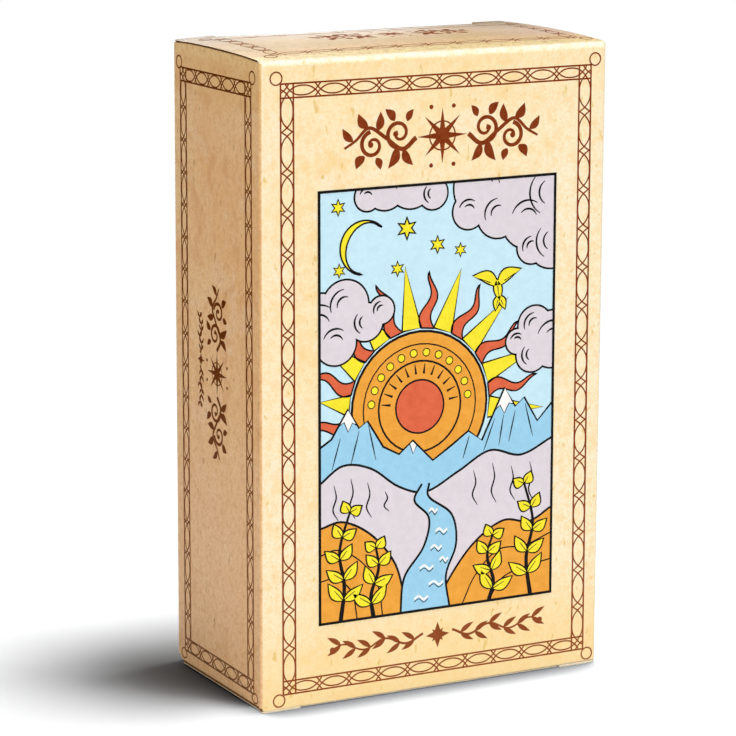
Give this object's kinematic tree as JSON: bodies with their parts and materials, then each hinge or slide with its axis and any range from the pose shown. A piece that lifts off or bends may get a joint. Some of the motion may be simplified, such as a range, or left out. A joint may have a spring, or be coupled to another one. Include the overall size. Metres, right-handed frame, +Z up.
{
  "type": "oracle card deck",
  "caption": "Oracle card deck in a closed reverse-tuck carton: folding walls, lids, tucks and dust flaps around a squared-up stack of tarot-size cards and a guide booklet.",
  "frame": {"origin": "centre of the closed carton's footprint, on the surface that it stands on", "axes": "+Z up along the carton's height, -Y out of its front panel, +X to the right as seen from the front"},
  "size_m": [0.0742, 0.0384, 0.124],
  "materials": {
    "printed_board": "satin",
    "card_stock": "satin",
    "cover_paper": "satin",
    "page_paper": "matte"
  },
  "bodies": {
    "carton": {"front_panel": "printed_board", "back_panel": "printed_board", "left_side_panel": "printed_board", "right_side_panel": "printed_board", "glue_flap": "printed_board"},
    "top_lid": {"top_lid": "printed_board"},
    "top_tuck": {"top_tuck_flap": "printed_board"},
    "top_left_dust": {"top_left_dust_flap": "printed_board"},
    "top_right_dust": {"top_right_dust_flap": "printed_board"},
    "bottom_lid": {"bottom_lid": "printed_board"},
    "bottom_tuck": {"bottom_tuck_flap": "printed_board"},
    "bottom_left_dust": {"bottom_left_dust_flap": "printed_board"},
    "bottom_right_dust": {"bottom_right_dust_flap": "printed_board"},
    "deck": {"booklet_cover": "cover_paper", "booklet_pages": "page_paper", "trump_card_00": "card_stock", "trump_card_01": "card_stock", "trump_card_02": "card_stock", "trump_card_03": "card_stock", "trump_card_04": "card_stock", "trump_card_05": "card_stock", "trump_card_06": "card_stock", "trump_card_07": "card_stock", "trump_card_08": "card_stock", "trump_card_09": "card_stock", "trump_card_10": "card_stock", "trump_card_11": "card_stock", "trump_card_12": "card_stock", "trump_card_13": "card_stock", "trump_card_14": "card_stock", "trump_card_15": "card_stock", "trump_card_16": "card_stock", "trump_card_17": "card_stock", "trump_card_18": "card_stock", "trump_card_19": "card_stock", "trump_card_20": "card_stock", "trump_card_21": "card_stock", "wands_ace_to_ten": "card_stock", "wands_page": "card_stock", "wands_knight": "card_stock", "wands_queen": "card_stock", "wands_king": "card_stock", "cups_ace_to_ten": "card_stock", "cups_page": "card_stock", "cups_knight": "card_stock", "cups_queen": "card_stock", "cups_king": "card_stock", "swords_ace_to_ten": "card_stock", "swords_page": "card_stock", "swords_knight": "card_stock", "swords_queen": "card_stock", "swords_king": "card_stock", "coins_ace_to_ten": "card_stock", "coins_page": "card_stock", "coins_knight": "card_stock", "coins_queen": "card_stock", "coins_king": "card_stock"}
  },
  "joints": [
    {"name": "top_lid_hinge", "type": "hinge", "parent": "carton", "child": "top_lid", "pos_m": [0, -0.01898, 0.12379], "axis": [1, 0, 0], "range_deg": [0, 170]},
    {"name": "top_tuck_fold", "type": "hinge", "parent": "top_lid", "child": "top_tuck", "pos_m": [0, 0.01675, 0.123], "axis": [-1, 0, 0], "range_deg": [0, 85]},
    {"name": "top_left_dust_fold", "type": "hinge", "parent": "carton", "child": "top_left_dust", "pos_m": [-0.03689, 0, 0.12304], "axis": [0, -1, 0], "range_deg": [0, 85]},
    {"name": "top_right_dust_fold", "type": "hinge", "parent": "carton", "child": "top_right_dust", "pos_m": [0.03689, 0, 0.12304], "axis": [0, 1, 0], "range_deg": [0, 85]},
    {"name": "bottom_lid_hinge", "type": "hinge", "parent": "carton", "child": "bottom_lid", "pos_m": [0, 0.01898, 0.00021], "axis": [1, 0, 0], "range_deg": [0, 170]},
    {"name": "bottom_tuck_fold", "type": "hinge", "parent": "bottom_lid", "child": "bottom_tuck", "pos_m": [0, -0.01675, 0.001], "axis": [-1, 0, 0], "range_deg": [0, 85]},
    {"name": "bottom_left_dust_fold", "type": "hinge", "parent": "carton", "child": "bottom_left_dust", "pos_m": [-0.03689, 0, 0.00097], "axis": [0, 1, 0], "range_deg": [0, 85]},
    {"name": "bottom_right_dust_fold", "type": "hinge", "parent": "carton", "child": "bottom_right_dust", "pos_m": [0.03689, 0, 0.00097], "axis": [0, -1, 0], "range_deg": [0, 85]},
    {"name": "deck_lift", "type": "slide", "parent": "carton", "child": "deck", "axis": [0, 0, 1], "range_m": [0, 0.001]}
  ],
  "couplings": [
    {"joint": "top_tuck_fold", "follows": "top_lid_hinge", "ratio": 0.5},
    {"joint": "top_left_dust_fold", "follows": "top_lid_hinge", "ratio": 0.5},
    {"joint": "top_right_dust_fold", "follows": "top_lid_hinge", "ratio": 0.5},
    {"joint": "bottom_tuck_fold", "follows": "bottom_lid_hinge", "ratio": 0.5},
    {"joint": "bottom_left_dust_fold", "follows": "bottom_lid_hinge", "ratio": 0.5},
    {"joint": "bottom_right_dust_fold", "follows": "bottom_lid_hinge", "ratio": 0.5}
  ]
}
